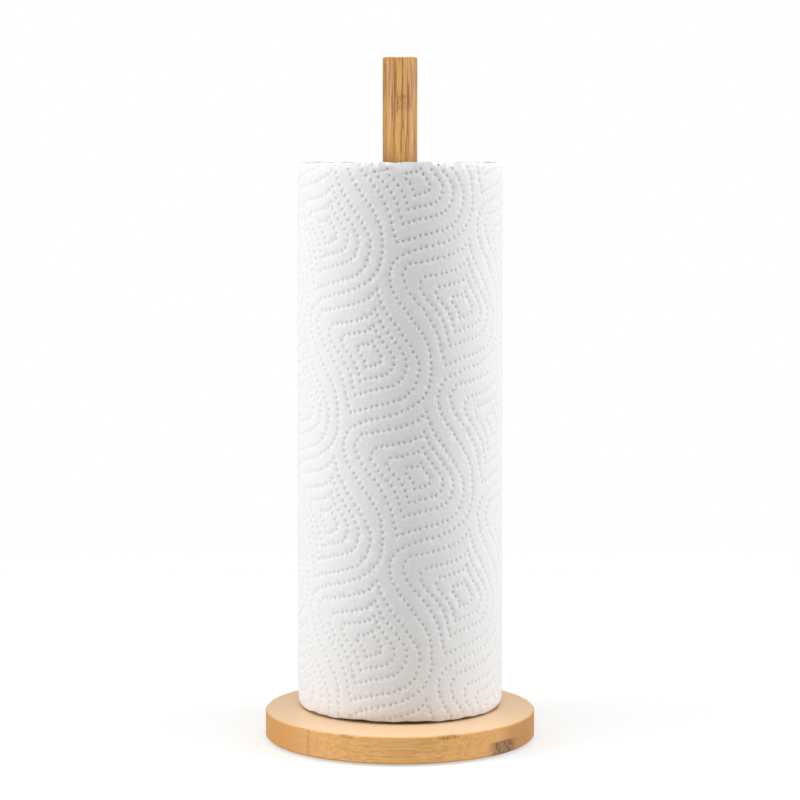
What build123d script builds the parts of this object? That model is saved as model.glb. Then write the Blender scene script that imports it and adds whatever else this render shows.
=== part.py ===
from build123d import *
import math
import os

# A free-standing kitchen-roll holder in bamboo, with a roll of paper towel standing on it. Millimetres.
# The origin is the centre of the underside, on the post's axis. +Z is up and -Y is the front.

# Base: two bamboo plies glued flat, on four thin pads
BASE_RADIUS = 70.0
PLY_THICKNESS = 7.0
TOP_EDGE_CHAMFER = 0.5
UNDER_EDGE_CHAMFER = 1.0
SEAM_CHAMFER = 0.05
PAD_RADIUS = 6.0
PAD_THICKNESS = 1.0
PAD_EDGE_ROUND = 0.3
PAD_CIRCLE_RADIUS = 56.0
PAD_COUNT = 4

# Post: a turned bamboo dowel with a tenon that drops into the base
POST_RADIUS = 8.85
POST_HEIGHT = 336.5
POST_TOP_CHAMFER = 0.4
TENON_RADIUS = 6.0
TENON_LENGTH = 3.8
TENON_CHAMFER = 0.4
SOCKET_RADIUS = 6.05
SOCKET_DEPTH = 4.0

# Fixing: an M5 button-head bolt from beneath, with a washer, into a brass insert in the post's foot
BOLT_RADIUS = 2.45
BOLT_TIP_CHAMFER = 0.5
BOLT_REACH = 23.4
BOLT_HEAD_RADIUS = 4.75
BOLT_HEAD_HEIGHT = 2.6
BOLT_HEAD_ROUND = 1.4
HEX_SOCKET_FLATS = 3.0
HEX_SOCKET_DEPTH = 1.5
BOLT_HOLE_RADIUS = 2.8
COUNTERBORE_RADIUS = 8.2
COUNTERBORE_DEPTH = 4.6
WASHER_RADIUS = 7.5
WASHER_THICKNESS = 1.2
INSERT_RADIUS = 4.0
INSERT_ROOT_RADIUS = 3.5
INSERT_BORE_RADIUS = 2.5
INSERT_LENGTH = 12.0
INSERT_BARBS = 6
BOLT_END_SPACE = 1.5

# Roll: paper towel wound on a two-ply board core, standing against the front of the post
ROLL_BACKSET = 10.0
CORE_INNER_RADIUS = 21.5
CORE_PLY_THICKNESS = 0.7
CORE_LENGTH = 282.5
CORE_TO_PAPER_GAP = 0.2
PAPER_RAISE = 1.5
PAPER_LENGTH = 281.5
PAPER_RADIUS = 52.5
SHEET_THICKNESS = 0.35
SHEET_END_INSET = 0.8
WINDING_END_ROUND = 2.0
SHEET_LENGTH = 260.0

# Levels that follow from these
BASE_UNDERSIDE = PAD_THICKNESS
SEAM_LEVEL = BASE_UNDERSIDE + PLY_THICKNESS
BASE_TOP = SEAM_LEVEL + PLY_THICKNESS
COUNTERBORE_TOP = BASE_UNDERSIDE + COUNTERBORE_DEPTH
TENON_FOOT = BASE_TOP - TENON_LENGTH
BOLT_SEAT = COUNTERBORE_TOP - WASHER_THICKNESS
BOLT_TIP = BOLT_SEAT + BOLT_REACH
CORE_OUTER_RADIUS = CORE_INNER_RADIUS + 2 * CORE_PLY_THICKNESS
WINDING_INNER_RADIUS = CORE_OUTER_RADIUS + CORE_TO_PAPER_GAP
WINDING_RADIUS = PAPER_RADIUS - 2 * SHEET_THICKNESS
PAPER_FOOT = BASE_TOP + PAPER_RAISE

ON_BASE = (Align.CENTER, Align.CENTER, Align.MIN)
AS_DRAWN = (Align.NONE, Align.NONE, Align.MIN)


def rod(radius, low, high):
    """A solid round bar on the Z axis between two levels."""
    return Pos(0, 0, low) * Cylinder(radius, high - low, align=ON_BASE)


def tube(inner_radius, outer_radius, low, high):
    """A round tube on the Z axis between two levels."""
    return rod(outer_radius, low, high) - rod(inner_radius, low, high)


def rims(solid, radius, level):
    """The round edges of one radius at one level."""
    edges = solid.edges().filter_by(GeomType.CIRCLE)
    at_level = edges.filter_by_position(Axis.Z, level, level)
    return at_level.filter_by(lambda edge: abs(edge.radius - radius) < 1e-6)


def base_lower_ply():
    """The lower disc, counterbored from beneath for the bolt's head and washer."""
    disc = rod(BASE_RADIUS, BASE_UNDERSIDE, SEAM_LEVEL)
    disc = chamfer(rims(disc, BASE_RADIUS, BASE_UNDERSIDE), UNDER_EDGE_CHAMFER)
    disc = chamfer(rims(disc, BASE_RADIUS, SEAM_LEVEL), SEAM_CHAMFER)
    disc -= rod(COUNTERBORE_RADIUS, BASE_UNDERSIDE, COUNTERBORE_TOP)
    return disc - rod(BOLT_HOLE_RADIUS, COUNTERBORE_TOP, SEAM_LEVEL)


def base_upper_ply():
    """The upper disc, with a round socket for the post's tenon."""
    disc = rod(BASE_RADIUS, SEAM_LEVEL, BASE_TOP)
    disc = chamfer(rims(disc, BASE_RADIUS, BASE_TOP), TOP_EDGE_CHAMFER)
    disc = chamfer(rims(disc, BASE_RADIUS, SEAM_LEVEL), SEAM_CHAMFER)
    disc -= rod(SOCKET_RADIUS, BASE_TOP - SOCKET_DEPTH, BASE_TOP)
    return disc - rod(BOLT_HOLE_RADIUS, SEAM_LEVEL, BASE_TOP - SOCKET_DEPTH)


def post():
    """The dowel, its tenon, and the stepped bore for the insert and the bolt's end."""
    top = BASE_TOP + POST_HEIGHT
    dowel = rod(POST_RADIUS, BASE_TOP, top)
    dowel = chamfer(rims(dowel, POST_RADIUS, top), POST_TOP_CHAMFER)
    tenon = rod(TENON_RADIUS, TENON_FOOT, BASE_TOP)
    tenon = chamfer(rims(tenon, TENON_RADIUS, TENON_FOOT), TENON_CHAMFER)
    insert_bore = rod(INSERT_RADIUS, TENON_FOOT, TENON_FOOT + INSERT_LENGTH)
    bolt_bore = rod(BOLT_HOLE_RADIUS, TENON_FOOT, BOLT_TIP + BOLT_END_SPACE)
    return dowel + tenon - insert_bore - bolt_bore


def threaded_insert():
    """A barbed brass sleeve, pressed into the post's foot, that the bolt screws into."""
    barb = INSERT_LENGTH / INSERT_BARBS
    outline = [(INSERT_BORE_RADIUS, 0)]
    for index in range(INSERT_BARBS):
        outline += [(INSERT_ROOT_RADIUS, index * barb), (INSERT_RADIUS, (index + 1) * barb)]
    outline += [(INSERT_BORE_RADIUS, INSERT_LENGTH)]
    profile = make_face(Polyline(*outline, close=True))
    sleeve = revolve(Plane.XZ * profile, Axis.Z, 360)
    return Pos(0, 0, TENON_FOOT) * sleeve


def bolt():
    """An M5 button-head bolt, head down, with a hexagon socket."""
    head_low = BOLT_SEAT - BOLT_HEAD_HEIGHT
    head = rod(BOLT_HEAD_RADIUS, head_low, BOLT_SEAT)
    head = fillet(rims(head, BOLT_HEAD_RADIUS, head_low), BOLT_HEAD_ROUND)
    hexagon = RegularPolygon(HEX_SOCKET_FLATS / 2, 6, major_radius=False)
    head -= Pos(0, 0, head_low) * extrude(hexagon, HEX_SOCKET_DEPTH)
    shank = rod(BOLT_RADIUS, BOLT_SEAT, BOLT_TIP)
    shank = chamfer(rims(shank, BOLT_RADIUS, BOLT_TIP), BOLT_TIP_CHAMFER)
    return head + shank


def washer():
    """A flat steel washer under the bolt's head."""
    return tube(BOLT_HOLE_RADIUS, WASHER_RADIUS, BOLT_SEAT, COUNTERBORE_TOP)


def foot_pad(index):
    """One anti-slip pad; the first stands at the front right."""
    pad = rod(PAD_RADIUS, 0, PAD_THICKNESS)
    pad = fillet(rims(pad, PAD_RADIUS, 0), PAD_EDGE_ROUND)
    angle = math.radians((index - 0.5) * 360 / PAD_COUNT - 90)
    return Pos(PAD_CIRCLE_RADIUS * math.cos(angle), PAD_CIRCLE_RADIUS * math.sin(angle), 0) * pad


def core_ply(index):
    """One board ply of the core, counted from the inside."""
    inner = CORE_INNER_RADIUS + index * CORE_PLY_THICKNESS
    ply = tube(inner, inner + CORE_PLY_THICKNESS, BASE_TOP, BASE_TOP + CORE_LENGTH)
    return Pos(0, ROLL_BACKSET, 0) * ply


def paper_winding():
    """The wound web under the two outermost sheets, rounded at both ends."""
    top = PAPER_FOOT + PAPER_LENGTH
    winding = tube(WINDING_INNER_RADIUS, WINDING_RADIUS, PAPER_FOOT, top)
    ends = rims(winding, WINDING_RADIUS, PAPER_FOOT) + rims(winding, WINDING_RADIUS, top)
    return Pos(0, ROLL_BACKSET, 0) * fillet(ends, WINDING_END_ROUND)


def wrapped_sheet(inner_radius, sweep_degrees):
    """A sheet wrapped round the roll, with its open side, if it has one, at the back."""
    low = PAPER_FOOT + SHEET_END_INSET
    high = PAPER_FOOT + PAPER_LENGTH - SHEET_END_INSET
    wall = tube(inner_radius, inner_radius + SHEET_THICKNESS, low, high)
    if sweep_degrees < 360:
        opening = Cylinder(2 * inner_radius, high - low, arc_size=360 - sweep_degrees, align=AS_DRAWN)
        wall -= Pos(0, 0, low) * Rot(0, 0, sweep_degrees / 2 - 90) * opening
    return Pos(0, ROLL_BACKSET, 0) * wall


def second_sheet():
    """The turn under the last one."""
    return wrapped_sheet(WINDING_RADIUS, 360)


def tail_sheet():
    """The last sheet, from its perforation round the front to its free edge."""
    inner = WINDING_RADIUS + SHEET_THICKNESS
    return wrapped_sheet(inner, math.degrees(SHEET_LENGTH / PAPER_RADIUS))


def main():
    """Makes every piece and writes each to its own file."""
    pieces = {
        "base_lower_ply": base_lower_ply(),
        "base_upper_ply": base_upper_ply(),
        "post": post(),
        "threaded_insert": threaded_insert(),
        "bolt": bolt(),
        "washer": washer(),
        "core_inner_ply": core_ply(0),
        "core_outer_ply": core_ply(1),
        "paper_winding": paper_winding(),
        "second_sheet": second_sheet(),
        "tail_sheet": tail_sheet(),
    }
    for index in range(1, PAD_COUNT + 1):
        pieces[f"foot_pad_{index}"] = foot_pad(index)
    os.makedirs("parts", exist_ok=True)
    for name, piece in pieces.items():
        export_step(piece, f"parts/{name}.step")


main()
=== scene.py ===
"""Looks of a bamboo kitchen-roll holder with a roll of embossed paper towel standing on it.

The CAD frame gives every place and size. The base, post, fixing, pads and core keep their CAD meshes and
get their finishes here; the wound web and its two outermost sheets are modelled in full, with the embossed
dots as real hollows. Lengths inside the classes are millimetres until a mesh is made.
"""

import logging
import math
import random
from dataclasses import dataclass
from enum import Enum
from itertools import product

import bpy
import numpy as np
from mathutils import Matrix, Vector, geometry, kdtree, noise


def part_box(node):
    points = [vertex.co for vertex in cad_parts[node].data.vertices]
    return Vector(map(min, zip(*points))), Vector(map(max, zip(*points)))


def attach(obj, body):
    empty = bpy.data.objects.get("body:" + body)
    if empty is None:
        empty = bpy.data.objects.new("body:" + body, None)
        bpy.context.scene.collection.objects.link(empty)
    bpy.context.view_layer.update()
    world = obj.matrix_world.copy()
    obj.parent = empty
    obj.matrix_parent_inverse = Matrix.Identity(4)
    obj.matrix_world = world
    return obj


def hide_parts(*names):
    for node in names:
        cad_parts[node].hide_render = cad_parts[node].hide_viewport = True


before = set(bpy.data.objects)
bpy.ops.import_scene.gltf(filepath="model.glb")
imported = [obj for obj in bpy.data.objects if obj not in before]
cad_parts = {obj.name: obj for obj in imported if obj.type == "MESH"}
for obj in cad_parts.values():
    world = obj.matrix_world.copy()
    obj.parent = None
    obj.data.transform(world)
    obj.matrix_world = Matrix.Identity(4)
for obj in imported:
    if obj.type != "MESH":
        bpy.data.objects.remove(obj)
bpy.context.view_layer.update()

log = logging.getLogger("towel_holder")

MM = 0.001
# A side of a box that has no limit, in mm
OPEN = 999.0

Point = tuple[float, float]
Corner = tuple[float, float, float]
Tree = bpy.types.NodeTree
Node = bpy.types.Node
Socket = bpy.types.NodeSocket

# Node settings that many patterns share
COLOURS = {"data_type": "RGBA"}
SMOOTH = {"interpolation_type": "SMOOTHSTEP"}
# The wave texture goes through this many radians in one unit of its scale
WAVE_RADIANS = 20.0
# Layers of the noise, kept apart so that no two of its uses match
PATCH_LAYER = 3.0
CREPE_LAYER = 7.0
FOOT_LAYER = 5.0
SIDE_LAYER = 9.0
# How much faster the turns' sideways wandering changes than their rise and fall
SIDE_ZOOM = 1.9
# Steps of this size spread numbers evenly between nought and one
GOLDEN = 0.618034


# ---------------------------------------------------------------- colour and node helpers


def linear(hex_colour: str) -> tuple[float, float, float, float]:
    """Turns an sRGB hex colour into linear light.

    Args:
        hex_colour: Six hex digits, such as "d9a866".

    Returns:
        Red, green, blue and an alpha of one.
    """
    channels = [int(hex_colour[i : i + 2], 16) / 255 for i in (0, 2, 4)]
    light = [c / 12.92 if c <= 0.04045 else ((c + 0.055) / 1.055) ** 2.4 for c in channels]
    return (*light, 1.0)


def add_node(tree: Tree, kind: str, settings: dict | None = None, inputs: dict | None = None) -> Node:
    """Adds one node with its settings and links.

    Args:
        tree: The node tree that gets the node.
        kind: The node's type, without the leading "ShaderNode".
        settings: Attributes to set on the node.
        inputs: For each input, by name or number, a value, the output socket to link, or a node whose
            first output in use is to be linked.

    Returns:
        The new node.
    """
    node = tree.nodes.new("ShaderNode" + kind)
    for key, value in (settings or {}).items():
        setattr(node, key, value)
    for key, value in (inputs or {}).items():
        if isinstance(value, Node):
            value = next(output for output in value.outputs if output.enabled)
        if isinstance(value, Socket):
            tree.links.new(value, node.inputs[key])
        else:
            node.inputs[key].default_value = value
    return node


def rise(value: Node | Socket, band: Point, top: float = 1.0, foot: float = 0.0) -> dict:
    """Words the inputs of a mapped range.

    Args:
        value: The value to map.
        band: Where the rise begins, and where it ends.
        top: What it rises to.
        foot: What it rises from.

    Returns:
        The inputs.
    """
    return {"Value": value, "From Min": band[0], "From Max": band[1], "To Min": foot, "To Max": top}


def stretched_noise(tree: Tree, places: Socket, scale: Corner, inputs: dict) -> Node:
    """Adds noise that is stretched along the axes.

    Args:
        tree: The node tree.
        places: The coordinates that the noise is read at.
        scale: Its scale per metre along each axis.
        inputs: Its other inputs.

    Returns:
        The noise.
    """
    mapped = add_node(tree, "Mapping", inputs={"Vector": places, "Scale": scale})
    return add_node(tree, "TexNoise", inputs={"Vector": mapped, "Scale": 1.0, **inputs})


def from_axis(tree: Tree, centre: Point) -> Node:
    """Measures object coordinates from an upright axis.

    Args:
        tree: The node tree.
        centre: The axis in X and Y, in metres.

    Returns:
        The node that gives the measured places.
    """
    place = add_node(tree, "TexCoord")
    return add_node(
        tree, "VectorMath", {"operation": "SUBTRACT"}, {0: place.outputs["Object"], 1: (*centre, 0.0)}
    )


def finish_surface(tree: Tree, surface: dict, height: Node, strength: float, depth_mm: float) -> None:
    """Ends a material with its bump, its surface and its output.

    Args:
        tree: The material's node tree.
        surface: The surface's inputs.
        height: The bump's height.
        strength: The bump's strength.
        depth_mm: The bump's depth in mm.
    """
    bump = add_node(
        tree, "Bump", inputs={"Height": height, "Strength": strength, "Distance": depth_mm * MM}
    )
    shader = add_node(tree, "BsdfPrincipled", inputs={**surface, "Normal": bump})
    add_node(tree, "OutputMaterial", inputs={"Surface": shader})


def new_material(name: str) -> tuple[bpy.types.Material, Tree]:
    """Makes an empty node material.

    Args:
        name: The real material's name.

    Returns:
        The material and its cleared node tree.
    """
    material = bpy.data.materials.new(name)
    material.use_nodes = True
    material.node_tree.nodes.clear()
    return material, material.node_tree


def set_material(piece: bpy.types.Object, material: bpy.types.Material) -> None:
    """Gives a piece one material all over."""
    if not piece.data.materials:
        piece.data.materials.append(material)
    for index in range(len(piece.data.materials)):
        piece.data.materials[index] = material


# ---------------------------------------------------------------- finishes


class Grain(Enum):
    """The axis that bamboo fibres run along."""

    ALONG_X = "X"
    ALONG_Z = "Z"


@dataclass(frozen=True)
class NodeMark:
    """A culm joint that crosses one strip, seen as a narrow band of short dark flecks."""

    place: float  # Distance along the grain in mm, in the row's frame
    low: Corner  # Lowest corner, in mm, of the box that the mark keeps to
    high: Corner  # Highest corner of that box
    width: float  # Half width of the band along the grain, in mm
    darkness: float  # How far the flecks go towards the darkest tone
    tint: float = 0.45  # Share of that darkness that the wood between the flecks takes on
    core: float = 0.3  # Share of the half width over which the band is at its darkest


@dataclass(frozen=True)
class Bamboo:
    """Laminated bamboo under a satin lacquer: strips of slightly different tone, each full of long fibres."""

    name: str
    grain: Grain  # The axis of the fibres
    pale: str  # Colour of the palest fibres
    body: str  # Colour of the wood between them
    streak: str  # Colour of the vascular bundles and of the open fibre ends
    face: str  # Colour painted on the faces that look up or down: a paler tone, painted light from above
    painted_top_light_share: float  # How much of that painted light they take
    strip_mm: float  # Width of a glued strip
    strip_shift_mm: float  # How far the strips are shifted across the grain
    strip_contrast: float  # Difference in tone between the strips
    ply_mm: float = 7.0  # Thickness of a layer of strips
    tones: tuple[float, ...] = ()  # Each strip's tone, where the strips are few enough to choose them
    end_share: float = 0.0  # How much darker open fibre ends go, because they drink more lacquer
    fibre_mm: float = 0.55  # Width of the fine fibres
    fibre_length_mm: float = 34.0  # Their length
    fibre_band: Point = (0.34, 0.68)  # Where in the noise a fibre begins, and where it is palest
    streak_mm: float = 1.3  # Width of the streaks
    streak_length_mm: float = 70.0  # Their length
    streak_band: Point = (0.49, 0.58)  # Where in the noise a streak begins, and where it is darkest
    streak_share: float = 0.7  # How dark the streaks are
    strip_warmth: float = 0.25  # Share of the strips' contrast by which the darker ones are warmer too
    glue_mm: float = 0.18  # Width of the glue line between strips
    glue_share: float = 0.3  # How dark it is
    # How squarely a face cuts the fibres where the end grain begins, and where it is full
    end_band: Point = (0.25, 1.0)
    # How flat a face lies where the painted light from above begins, and where it is full
    painted_top_light_band: Point = (0.75, 0.98)
    roughness: Point = (0.4, 0.56)  # The lacquer's roughness, from the smoothest to the roughest fibre
    fleck_mm: Point = (1.6, 0.9)  # Length and width of the flecks in a culm joint
    fleck_band: Point = (0.5, 0.62)  # Where in the noise a fleck begins, and where it is darkest
    fleck: str = "5a3000"  # Colour of the flecks
    marks: tuple[NodeMark, ...] = ()  # The culm joints

    def scale(self, along_mm: float, across_mm: float) -> Corner:
        """Works out the scale of a pattern that follows the grain.

        Args:
            along_mm: A feature's length along the grain.
            across_mm: Its width across it.

        Returns:
            The scale per metre along each axis.
        """
        values = [1 / (across_mm * MM)] * 3
        values["XYZ".index(self.grain.value)] = 1 / (along_mm * MM)
        return tuple(values)

    def make(self) -> bpy.types.Material:
        """Builds the material.

        Returns:
            The bamboo material.
        """
        material, tree = new_material(self.name)
        place = add_node(tree, "TexCoord")
        objects, normal = place.outputs["Object"], place.outputs["Normal"]

        # Fine fibres, about half a millimetre wide, give the surface its silky lines
        fibre_scale = self.scale(self.fibre_length_mm, self.fibre_mm)
        fibre = stretched_noise(tree, objects, fibre_scale, {"Detail": 3.0, "Roughness": 0.6})
        # Broader streaks are the darker vascular bundles that run for centimetres
        streak_scale = self.scale(self.streak_length_mm, self.streak_mm)
        streak_look = {"Detail": 4.0, "Roughness": 0.55, "Distortion": 0.15}
        streak = stretched_noise(tree, objects, streak_scale, streak_look)
        fibre_line = add_node(tree, "MapRange", SMOOTH, rise(fibre, self.fibre_band))
        body = add_node(
            tree, "Mix", COLOURS, {"Factor": fibre_line, "A": linear(self.body), "B": linear(self.pale)}
        )
        streak_line = add_node(tree, "MapRange", SMOOTH, rise(streak, self.streak_band))
        streak_share = add_node(
            tree, "Math", {"operation": "MULTIPLY"}, {0: streak_line, 1: self.streak_share}
        )
        dark = linear(self.streak)
        grained = add_node(tree, "Mix", COLOURS, {"Factor": streak_share, "A": body, "B": dark})
        toned = self.strips(tree, objects, grained)
        ended = self.facing(tree, normal, self.grain.value, self.end_band, self.end_share, toned, self.streak)
        # The faces that look up or down are painted paler: painted light from above
        with_painted_light = self.facing(tree, normal, "Z", self.painted_top_light_band, self.painted_top_light_share, ended, self.face)
        marked = self.node_marks(tree, objects, with_painted_light)

        height = add_node(tree, "Math", {"operation": "ADD"}, {0: fibre, 1: streak})
        smooth, rough = self.roughness
        sheen = add_node(tree, "MapRange", inputs={"Value": fibre, "To Min": smooth, "To Max": rough})
        # A thin satin lacquer over the wood
        lacquer = {"IOR": 1.5, "Coat Weight": 0.12, "Coat Roughness": 0.3}
        finish_surface(tree, {"Base Color": marked, "Roughness": sheen, **lacquer}, height, 0.25, 0.06)
        return material

    def strips(self, tree: Tree, objects: Socket, colour: Node) -> Node:
        """Shifts the tone from one glued strip to the next, with a fine glue line between them.

        Args:
            tree: The material's node tree.
            objects: Object coordinates.
            colour: The grained colour.

        Returns:
            The colour with its strips.
        """
        axes = add_node(tree, "SeparateXYZ", inputs={0: objects})
        across = axes.outputs["Y" if self.grain is Grain.ALONG_X else "X"]
        shifted = add_node(tree, "Math", {"operation": "ADD"}, {0: across, 1: self.strip_shift_mm * MM})
        counted = add_node(tree, "Math", {"operation": "DIVIDE"}, {0: shifted, 1: self.strip_mm * MM})
        strip = add_node(tree, "Math", {"operation": "FLOOR"}, {0: counted})
        tone = self.strip_tone(tree, strip, axes.outputs["Z"])
        light, warm = self.strip_contrast, self.strip_warmth * self.strip_contrast
        value = add_node(tree, "MapRange", inputs={"Value": tone, "To Min": 1 - light, "To Max": 1 + light})
        warmth = add_node(tree, "MapRange", inputs={"Value": tone, "To Min": 1 + warm, "To Max": 1 - warm})
        shade = add_node(
            tree, "HueSaturation", inputs={"Color": colour, "Value": value, "Saturation": warmth}
        )
        fraction = add_node(tree, "Math", {"operation": "FRACT"}, {0: counted})
        width = self.glue_mm / self.strip_mm
        edge = add_node(tree, "Math", {"operation": "LESS_THAN"}, {0: fraction, 1: width})
        line = add_node(tree, "Math", {"operation": "MULTIPLY"}, {0: edge, 1: self.glue_share})
        return add_node(tree, "Mix", COLOURS, {"Factor": line, "A": shade, "B": linear(self.streak)})

    def strip_tone(self, tree: Tree, strip: Node, height: Socket) -> Node:
        """Gives each strip its tone, from zero for the darkest to one for the palest.

        Args:
            tree: The material's node tree.
            strip: The strip's number.
            height: Height in the row's frame.

        Returns:
            The tone: a chosen one where the strips are few, or one drawn for each strip of each ply.
        """
        if not self.tones:
            level = add_node(tree, "Math", {"operation": "DIVIDE"}, {0: height, 1: self.ply_mm * MM})
            ply = add_node(tree, "Math", {"operation": "FLOOR"}, {0: level})
            cell = add_node(tree, "CombineXYZ", inputs={"X": strip, "Y": ply})
            return add_node(tree, "TexWhiteNoise", {"noise_dimensions": "3D"}, {"Vector": cell})
        total = 0.0
        for number, tone in enumerate(self.tones):
            here = add_node(tree, "Math", {"operation": "COMPARE"}, {0: strip, 1: float(number), 2: 0.5})
            total = add_node(tree, "Math", {"operation": "MULTIPLY_ADD"}, {0: here, 1: tone, 2: total})
        return total

    def facing(
        self, tree: Tree, normal: Socket, axis: str, band: Point, share: float, colour: Node, tint: str
    ) -> Node:
        """Tints the faces that look along one axis.

        Args:
            tree: The material's node tree.
            normal: The surface's own direction.
            axis: The axis's letter.
            band: How nearly a face looks along it where the tint begins, and where it is full.
            share: How strong the full tint is.
            colour: The colour so far.
            tint: The tint.

        Returns:
            The tinted colour.
        """
        axes = add_node(tree, "SeparateXYZ", inputs={0: normal})
        along = add_node(tree, "Math", {"operation": "ABSOLUTE"}, {0: axes.outputs[axis]})
        factor = add_node(tree, "MapRange", SMOOTH, rise(along, band, share))
        return add_node(tree, "Mix", COLOURS, {"Factor": factor, "A": colour, "B": linear(tint)})

    def node_marks(self, tree: Tree, objects: Socket, colour: Node) -> Node:
        """Adds the culm joints.

        Args:
            tree: The material's node tree.
            objects: Object coordinates.
            colour: The colour so far.

        Returns:
            The colour with the joints' dark flecks.
        """
        flecks = stretched_noise(tree, objects, self.scale(*self.fleck_mm), {"Detail": 2.0})
        spots = add_node(tree, "MapRange", SMOOTH, rise(flecks, self.fleck_band))
        axes = add_node(tree, "SeparateXYZ", inputs={0: objects})
        along = axes.outputs[self.grain.value]
        for mark in self.marks:
            offset = add_node(tree, "Math", {"operation": "SUBTRACT"}, {0: along, 1: mark.place * MM})
            away = add_node(tree, "Math", {"operation": "ABSOLUTE"}, {0: offset})
            reach = (mark.core * mark.width * MM, mark.width * MM)
            band = add_node(tree, "MapRange", SMOOTH, rise(away, reach, 0.0, mark.darkness))
            tinted = add_node(tree, "MapRange", inputs={"Value": spots, "To Min": mark.tint})
            share = add_node(tree, "Math", {"operation": "MULTIPLY"}, {0: band, 1: tinted})
            for test, corner in (("GREATER_THAN", mark.low), ("LESS_THAN", mark.high)):
                for side, limit in zip(axes.outputs, corner):
                    inside = add_node(tree, "Math", {"operation": test}, {0: side, 1: limit * MM})
                    share = add_node(tree, "Math", {"operation": "MULTIPLY"}, {0: share, 1: inside})
            colour = add_node(tree, "Mix", COLOURS, {"Factor": share, "A": colour, "B": linear(self.fleck)})
        return colour


@dataclass(frozen=True)
class TowelPaper:
    """Creped two-ply tissue: a dead matte white with soft fibres and fine crepe ridges along the roll."""

    name: str = "creped_tissue"
    white: str = "e3e3e3"  # Colour of the paper
    shade: str = "dadada"  # Colour where its fibres lie thinner
    crepe_mm: float = 0.45  # Spacing of the crepe ridges
    crepe_length_mm: float = 5.0  # Their length
    clump_mm: float = 1.7  # Size of the clumps of fibres

    def make(self) -> bpy.types.Material:
        """Builds the material. It reads the sheet's own UV map, which is in metres on the flat web.

        Returns:
            The paper material.
        """
        material, tree = new_material(self.name)
        web = add_node(tree, "TexCoord").outputs["UV"]
        crepe_scale = (1 / (self.crepe_mm * MM), 1 / (self.crepe_length_mm * MM), 1.0)
        crepe = stretched_noise(tree, web, crepe_scale, {"Detail": 3.0})
        clump = stretched_noise(tree, web, (1 / (self.clump_mm * MM),) * 3, {"Detail": 5.0})
        colour = add_node(
            tree, "Mix", COLOURS, {"Factor": clump, "A": linear(self.white), "B": linear(self.shade)}
        )
        height = add_node(tree, "Math", {"operation": "ADD"}, {0: crepe, 1: clump})
        # Loose fibres scatter light every way, so there is next to no shine
        surface = {"Base Color": colour, "Roughness": 0.95, "Specular IOR Level": 0.15}
        finish_surface(tree, surface, height, 0.6, 0.25)
        return material


@dataclass(frozen=True)
class CutTissue:
    """The cut ends of the wound tissue: hundreds of white edges, with painted shade as thin grey lines
    between the turns.
    """

    name: str = "cut_tissue_edges"
    white: str = "e2e2e2"  # Colour of the cut edges
    gap: str = "a9a9a7"  # Colour painted in the gaps between the turns: painted shade
    turn_mm: float = 0.36  # Spacing of the turns
    drift_mm: float = 8.333  # Size of the patches over which the turns wander together
    drift_turns: float = 2.2  # How many turns they wander
    painted_gap_shade: float = 0.5  # How dark the painted shade in a gap is

    def make(self, centre: Point) -> bpy.types.Material:
        """Builds the material.

        Args:
            centre: The roll's axis in X and Y, in metres.

        Returns:
            The material of the roll's ends.
        """
        material, tree = new_material(self.name)
        centred = from_axis(tree, centre)
        axes = add_node(tree, "SeparateXYZ", inputs={0: centred})
        flat = add_node(tree, "CombineXYZ", inputs={"X": axes.outputs["X"], "Y": axes.outputs["Y"]})
        radius = add_node(tree, "VectorMath", {"operation": "LENGTH"}, {0: flat})
        drift_scale = 1 / (self.drift_mm * MM)
        drift = add_node(tree, "TexNoise", inputs={"Vector": centred, "Scale": drift_scale, "Detail": 2.0})
        turns = add_node(tree, "Math", {"operation": "DIVIDE"}, {0: radius, 1: self.turn_mm * MM})
        wandering = add_node(
            tree, "Math", {"operation": "MULTIPLY_ADD"}, {0: drift, 1: self.drift_turns, 2: turns}
        )
        angle = add_node(tree, "Math", {"operation": "MULTIPLY"}, {0: wandering, 1: math.tau})
        wave = add_node(tree, "Math", {"operation": "SINE"}, {0: angle})
        # The grey rings between the turns are painted shade in the gaps
        line = add_node(
            tree, "MapRange", inputs={"Value": wave, "From Min": -1.0, "To Max": self.painted_gap_shade}
        )
        colour = add_node(
            tree, "Mix", COLOURS, {"Factor": line, "A": linear(self.white), "B": linear(self.gap)}
        )
        surface = {"Base Color": colour, "Roughness": 0.95, "Specular IOR Level": 0.15}
        finish_surface(tree, surface, wave, 0.4, 0.1)
        return material


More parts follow.
